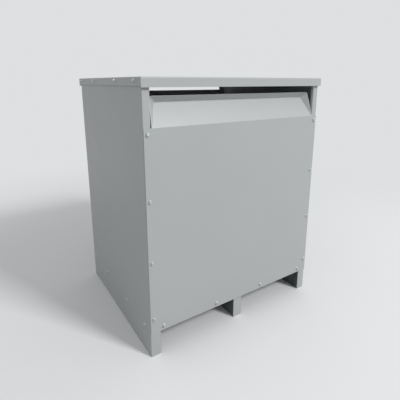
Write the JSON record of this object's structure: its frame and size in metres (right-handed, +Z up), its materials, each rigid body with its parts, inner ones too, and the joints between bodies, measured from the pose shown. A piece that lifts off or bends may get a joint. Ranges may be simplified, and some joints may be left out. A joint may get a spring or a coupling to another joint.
{
  "type": "isolation transformer",
  "caption": "Floor-standing dry-type isolation transformer in a grey ventilated sheet-metal enclosure with hooded air outlets under a flat lid and rail feet.",
  "frame": {"origin": "on the floor, under the middle of the enclosure", "axes": "+X to the right along the front, +Y to the rear, +Z up"},
  "size_m": [0.6546, 0.556, 0.791],
  "materials": {
    "enclosure_paint": "light grey powder coat, fine satin orange peel",
    "foot_primer": "dark grey primer, dull",
    "galvanised_steel": "galvanised sheet, dull spangle",
    "pad_rubber": "matte black ribbed rubber",
    "clamp_paint": "black primer",
    "core_laminations": "stacked electrical steel, varnished edges",
    "coil_varnish": "varnished insulation paper, brown",
    "block_laminate": "glass polyester laminate",
    "board_laminate": "red glass polyester sheet",
    "terminal_aluminium": "tin-plated bar, satin"
  },
  "bodies": {
    "root": {"left_side_panel": "enclosure_paint", "right_side_panel": "enclosure_paint", "front_cover": "enclosure_paint", "rear_cover": "enclosure_paint", "lid": "enclosure_paint", "left_foot_rail": "foot_primer", "centre_foot_rail": "foot_primer", "right_foot_rail": "foot_primer", "centre_foot_cap_front": "enclosure_paint", "centre_foot_cap_rear": "enclosure_paint", "front_base_angle": "galvanised_steel", "rear_base_angle": "galvanised_steel", "front_core_support": "galvanised_steel", "rear_core_support": "galvanised_steel", "isolation_pad_front_left": "pad_rubber", "isolation_pad_front_right": "pad_rubber", "isolation_pad_rear_left": "pad_rubber", "isolation_pad_rear_right": "pad_rubber", "lower_clamp_front": "clamp_paint", "lower_clamp_rear": "clamp_paint", "upper_clamp_front": "clamp_paint", "upper_clamp_rear": "clamp_paint", "core_limb_left": "core_laminations", "core_limb_centre": "core_laminations", "core_limb_right": "core_laminations", "core_bottom_yoke": "core_laminations", "core_top_yoke": "core_laminations", "coil_left": "coil_varnish", "coil_centre": "coil_varnish", "coil_right": "coil_varnish", "lower_coil_blocks": "block_laminate", "upper_coil_blocks": "block_laminate", "primary_terminal_board": "board_laminate", "secondary_terminal_board": "board_laminate", "primary_bar_left": "terminal_aluminium", "primary_bar_centre": "terminal_aluminium", "primary_bar_right": "terminal_aluminium", "secondary_bar_left": "terminal_aluminium", "secondary_bar_centre": "terminal_aluminium", "secondary_bar_right": "terminal_aluminium", "secondary_bar_neutral": "terminal_aluminium", "ground_bar": "terminal_aluminium"}
  },
  "joints": []
}
